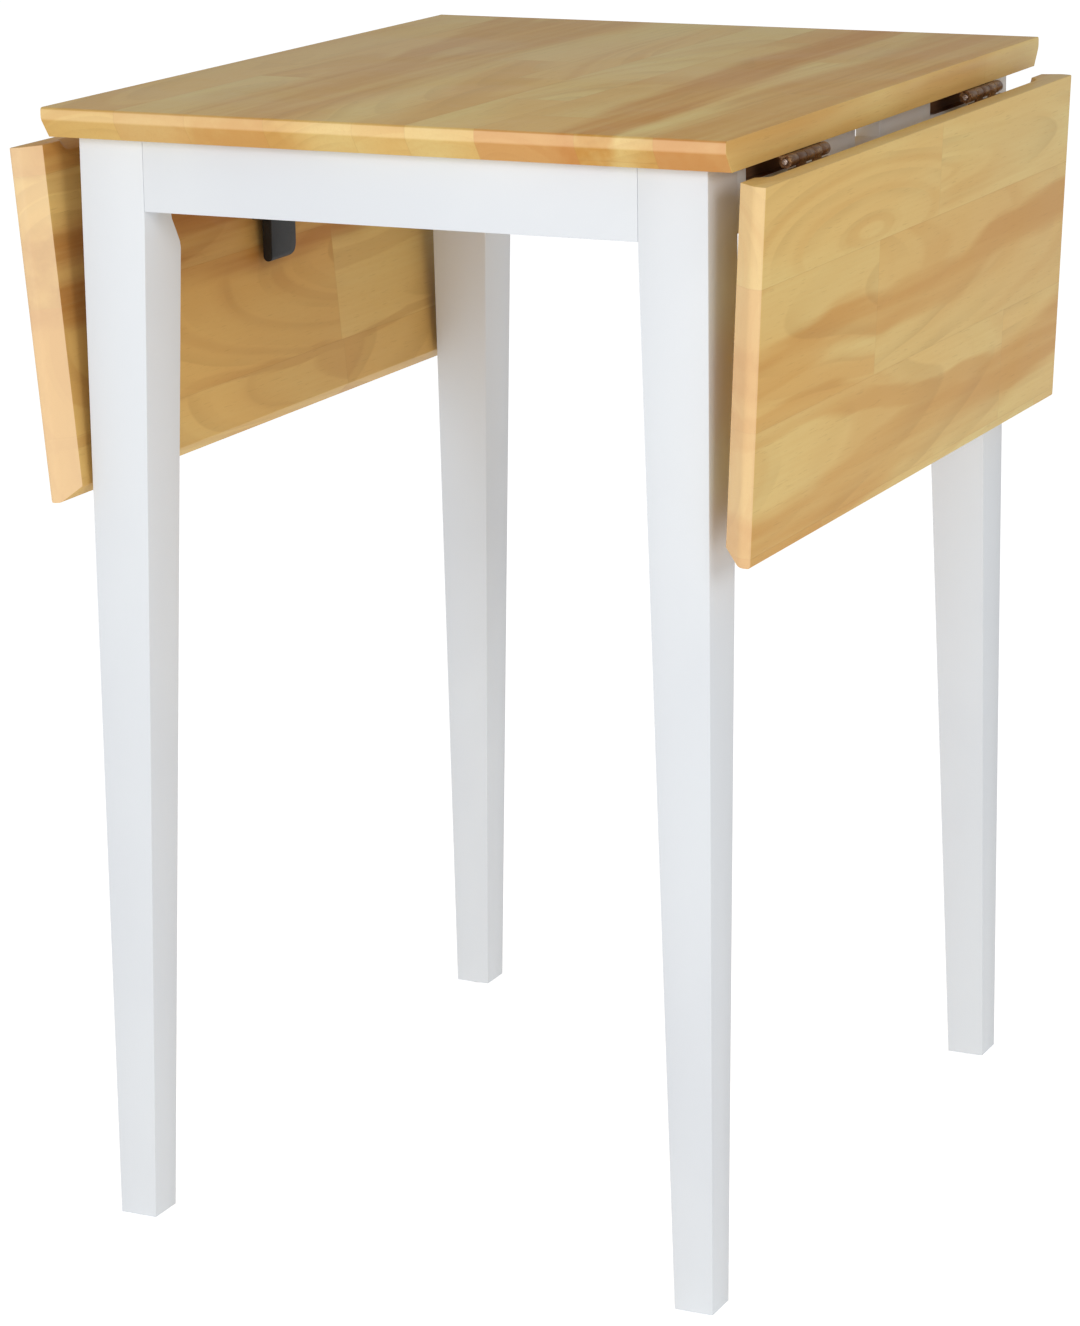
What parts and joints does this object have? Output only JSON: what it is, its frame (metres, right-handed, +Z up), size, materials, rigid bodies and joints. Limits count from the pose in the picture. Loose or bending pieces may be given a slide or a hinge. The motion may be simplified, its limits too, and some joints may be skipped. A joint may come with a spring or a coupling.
{
  "type": "drop leaf table",
  "caption": "Rectangular table on four tapered legs, with a hinged drop leaf along each long side and a swinging arm under each leaf.",
  "frame": {"origin": "on the floor under the middle of the top", "axes": "+Z up, the front apron faces -Y, and the leaves hang at -X and +X"},
  "size_m": [0.5099, 0.5588, 0.737],
  "materials": {
    "lacquered_wood": "edge-glued light hardwood under clear satin lacquer",
    "white_paint": "white satin paint on wood",
    "raw_wood": "sanded, unfinished",
    "bronzed_steel": "dark bronze plated steel, satin",
    "black_steel": "black satin coated steel",
    "zinced_steel": "bright zinc plated",
    "glide_plastic": "off-white moulded plastic"
  },
  "bodies": {
    "frame": {"tabletop": "lacquered_wood", "leg_front_left": "white_paint", "leg_front_right": "white_paint", "leg_back_right": "white_paint", "leg_back_left": "white_paint", "apron_front": "white_paint", "apron_back": "white_paint", "apron_left": "white_paint", "apron_right": "white_paint", "glide_front_left": "glide_plastic", "corner_block_front_left": "raw_wood", "hanger_bolt_front_left": "zinced_steel", "washer_front_left": "zinced_steel", "nut_front_left": "zinced_steel", "top_screw_front_left": "zinced_steel", "glide_front_right": "glide_plastic", "corner_block_front_right": "raw_wood", "hanger_bolt_front_right": "zinced_steel", "washer_front_right": "zinced_steel", "nut_front_right": "zinced_steel", "top_screw_front_right": "zinced_steel", "glide_back_right": "glide_plastic", "corner_block_back_right": "raw_wood", "hanger_bolt_back_right": "zinced_steel", "washer_back_right": "zinced_steel", "nut_back_right": "zinced_steel", "top_screw_back_right": "zinced_steel", "glide_back_left": "glide_plastic", "corner_block_back_left": "raw_wood", "hanger_bolt_back_left": "zinced_steel", "washer_back_left": "zinced_steel", "nut_back_left": "zinced_steel", "top_screw_back_left": "zinced_steel", "hinge_left_front_fixed_plate": "bronzed_steel", "hinge_left_front_pin": "bronzed_steel", "hinge_left_back_fixed_plate": "bronzed_steel", "hinge_left_back_pin": "bronzed_steel", "arm_bracket_left": "black_steel", "arm_pin_left": "zinced_steel", "hinge_right_front_fixed_plate": "bronzed_steel", "hinge_right_front_pin": "bronzed_steel", "hinge_right_back_fixed_plate": "bronzed_steel", "hinge_right_back_pin": "bronzed_steel", "arm_bracket_right": "black_steel", "arm_pin_right": "zinced_steel"},
    "leaf_left": {"leaf_left": "lacquered_wood", "strike_left": "black_steel", "hinge_left_front_leaf_plate": "bronzed_steel", "hinge_left_back_leaf_plate": "bronzed_steel"},
    "arm_left": {"swing_arm_left": "black_steel"},
    "leaf_right": {"leaf_right": "lacquered_wood", "strike_right": "black_steel", "hinge_right_front_leaf_plate": "bronzed_steel", "hinge_right_back_leaf_plate": "bronzed_steel"},
    "arm_right": {"swing_arm_right": "black_steel"}
  },
  "joints": [
    {"name": "leaf_left_hinge", "type": "hinge", "parent": "frame", "child": "leaf_left", "pos_m": [-0.23125, 0, 0.7132], "axis": [0, 1, 0], "range_deg": [-0.88, 95.1]},
    {"name": "leaf_right_hinge", "type": "hinge", "parent": "frame", "child": "leaf_right", "pos_m": [0.23125, 0, 0.7132], "axis": [0, -1, 0], "range_deg": [-3.38, 92.6]},
    {"name": "arm_left_pivot", "type": "hinge", "parent": "frame", "child": "arm_left", "pos_m": [-0.219, 0, 0.6861], "axis": [0, 1, 0], "range_deg": [-1.02, 109.78]},
    {"name": "arm_right_pivot", "type": "hinge", "parent": "frame", "child": "arm_right", "pos_m": [0.219, 0, 0.6861], "axis": [0, -1, 0], "range_deg": [-3.9, 106.89]}
  ],
  "couplings": [
    {"joint": "arm_left_pivot", "follows": "leaf_left_hinge", "ratio": 1.1542},
    {"joint": "arm_right_pivot", "follows": "leaf_right_hinge", "ratio": 1.1542}
  ]
}
